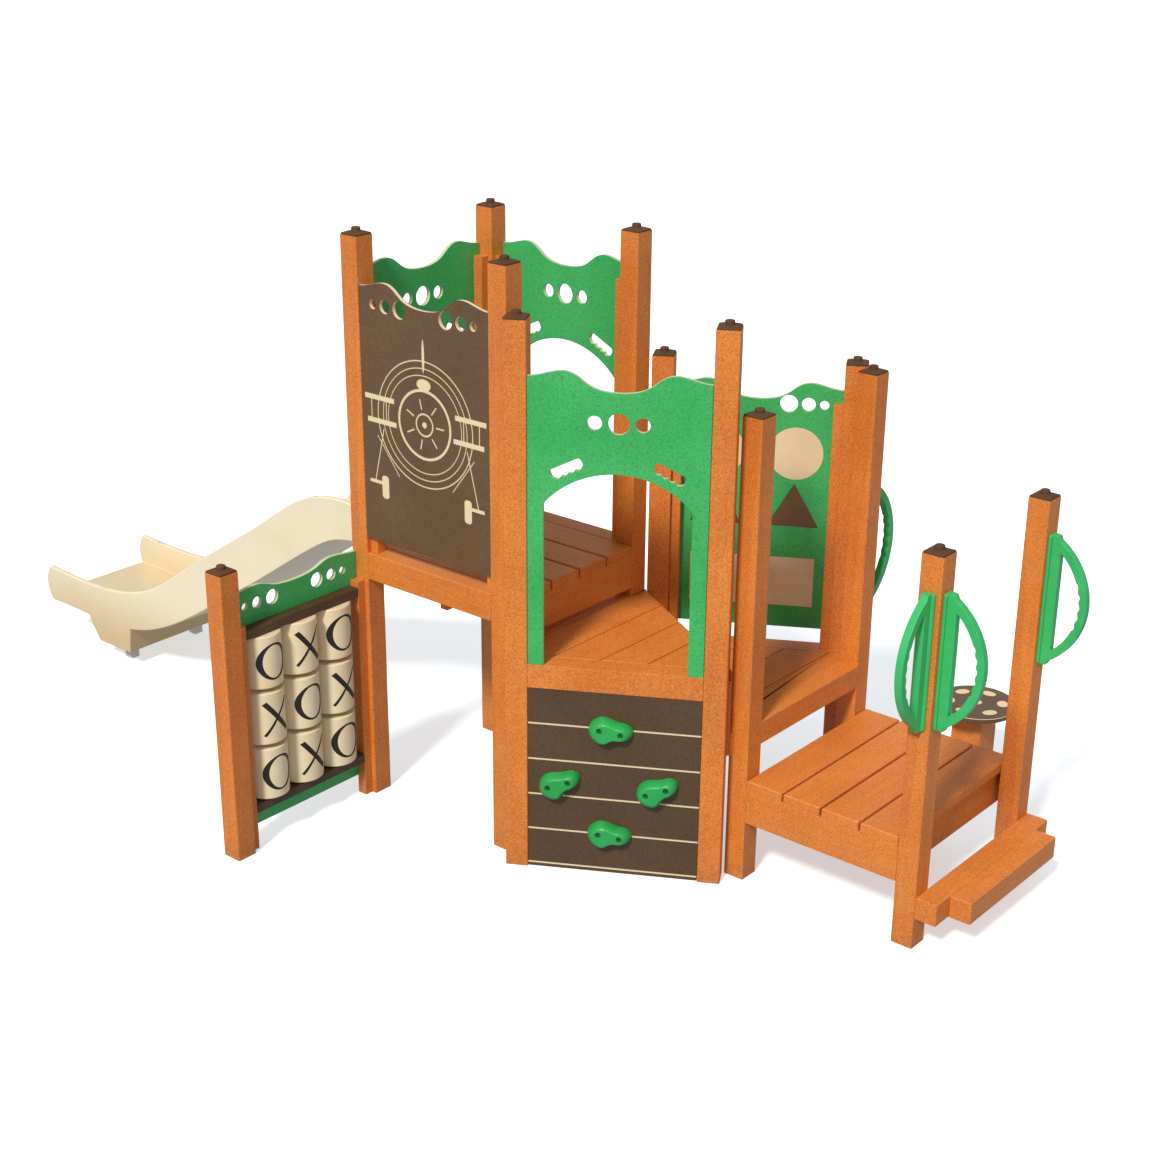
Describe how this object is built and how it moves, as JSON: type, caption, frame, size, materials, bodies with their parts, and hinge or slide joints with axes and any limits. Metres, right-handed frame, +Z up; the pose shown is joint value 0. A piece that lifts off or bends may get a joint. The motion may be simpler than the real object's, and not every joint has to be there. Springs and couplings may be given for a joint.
{
  "type": "playground climber",
  "caption": "Play structure with a rock climbing wall, stepped square and triangular decks, a slide, a turning-drum game panel and a stool.",
  "frame": {"origin": "middle of the ground plan's bounding box, on the ground", "axes": "+Z up; +X along the climbing wall, towards the entry step; the climbing wall faces -Y; the slide leaves towards -X +Y"},
  "size_m": [4.8785, 2.7972, 2.402],
  "materials": {
    "cedar_lumber": "recycled plastic lumber, fine grain speckle",
    "green_sheet": "solid sheet, fine orange-peel texture",
    "brown_sheet": "solid sheet with a cream core, fine orange-peel texture",
    "cream_plastic": "moulded, satin",
    "slide_cream": "rotationally moulded, satin",
    "hold_green": "cast hold, semi-gloss",
    "dark_cap": "moulded cap",
    "steel": "zinc-plated"
  },
  "bodies": {
    "structure": {"aeroplane_panel": "brown_sheet", "back_arch_panel": "green_sheet", "climbing_arch_panel": "green_sheet", "climbing_panel": "brown_sheet", "entry_deck_boards": "cedar_lumber", "entry_deck_frame": "cedar_lumber", "game_frame": "green_sheet", "game_rails": "brown_sheet", "game_rods": "steel", "grip_entry_left_front": "green_sheet", "grip_entry_left_side": "green_sheet", "grip_entry_right_front": "green_sheet", "grip_step_back_side": "green_sheet", "high_deck_boards": "cedar_lumber", "high_deck_joists": "cedar_lumber", "high_deck_rims": "cedar_lumber", "hold_bolts": "steel", "hold_bottom": "hold_green", "hold_left": "hold_green", "hold_right": "hold_green", "hold_top": "hold_green", "lower_triangle_beams": "cedar_lumber", "lower_triangle_boards": "cedar_lumber", "panel_battens": "cedar_lumber", "post_caps": "dark_cap", "post_entry_left": "cedar_lumber", "post_entry_right": "cedar_lumber", "post_game_end": "cedar_lumber", "post_high_back": "cedar_lumber", "post_high_front": "cedar_lumber", "post_high_left": "cedar_lumber", "post_high_right": "cedar_lumber", "post_panel_left": "cedar_lumber", "post_panel_right": "cedar_lumber", "post_step_back": "cedar_lumber", "post_step_front": "cedar_lumber", "post_wall_left": "cedar_lumber", "post_wall_right": "cedar_lumber", "shape_circles_squares": "cream_plastic", "shape_triangles": "brown_sheet", "shapes_panel": "green_sheet", "slide_anchors": "steel", "slide_arch_panel": "green_sheet", "slide_chute": "slide_cream", "step_inner_beam": "cedar_lumber", "step_outer_beam": "cedar_lumber", "stool_post": "cedar_lumber", "stool_seat": "brown_sheet", "upper_triangle_beams": "cedar_lumber", "upper_triangle_boards": "cedar_lumber"},
    "drum_bottom_centre": {"drum_bottom_centre": "cream_plastic"},
    "drum_bottom_left": {"drum_bottom_left": "cream_plastic"},
    "drum_bottom_right": {"drum_bottom_right": "cream_plastic"},
    "drum_middle_centre": {"drum_middle_centre": "cream_plastic"},
    "drum_middle_left": {"drum_middle_left": "cream_plastic"},
    "drum_middle_right": {"drum_middle_right": "cream_plastic"},
    "drum_top_centre": {"drum_top_centre": "cream_plastic"},
    "drum_top_left": {"drum_top_left": "cream_plastic"},
    "drum_top_right": {"drum_top_right": "cream_plastic"}
  },
  "joints": [
    {"name": "drum_bottom_centre_spin", "type": "hinge", "parent": "structure", "child": "drum_bottom_centre", "pos_m": [-0.62005, -0.68538, 0.311], "axis": [0, 0, 1], "continuous": true},
    {"name": "drum_bottom_left_spin", "type": "hinge", "parent": "structure", "child": "drum_bottom_left", "pos_m": [-0.71355, -0.84732, 0.311], "axis": [0, 0, 1], "continuous": true},
    {"name": "drum_bottom_right_spin", "type": "hinge", "parent": "structure", "child": "drum_bottom_right", "pos_m": [-0.52655, -0.52343, 0.311], "axis": [0, 0, 1], "continuous": true},
    {"name": "drum_middle_centre_spin", "type": "hinge", "parent": "structure", "child": "drum_middle_centre", "pos_m": [-0.62005, -0.68538, 0.553], "axis": [0, 0, 1], "continuous": true},
    {"name": "drum_middle_left_spin", "type": "hinge", "parent": "structure", "child": "drum_middle_left", "pos_m": [-0.71355, -0.84732, 0.553], "axis": [0, 0, 1], "continuous": true},
    {"name": "drum_middle_right_spin", "type": "hinge", "parent": "structure", "child": "drum_middle_right", "pos_m": [-0.52655, -0.52343, 0.553], "axis": [0, 0, 1], "continuous": true},
    {"name": "drum_top_centre_spin", "type": "hinge", "parent": "structure", "child": "drum_top_centre", "pos_m": [-0.62005, -0.68538, 0.795], "axis": [0, 0, 1], "continuous": true},
    {"name": "drum_top_left_spin", "type": "hinge", "parent": "structure", "child": "drum_top_left", "pos_m": [-0.71355, -0.84732, 0.795], "axis": [0, 0, 1], "continuous": true},
    {"name": "drum_top_right_spin", "type": "hinge", "parent": "structure", "child": "drum_top_right", "pos_m": [-0.52655, -0.52343, 0.795], "axis": [0, 0, 1], "continuous": true}
  ]
}
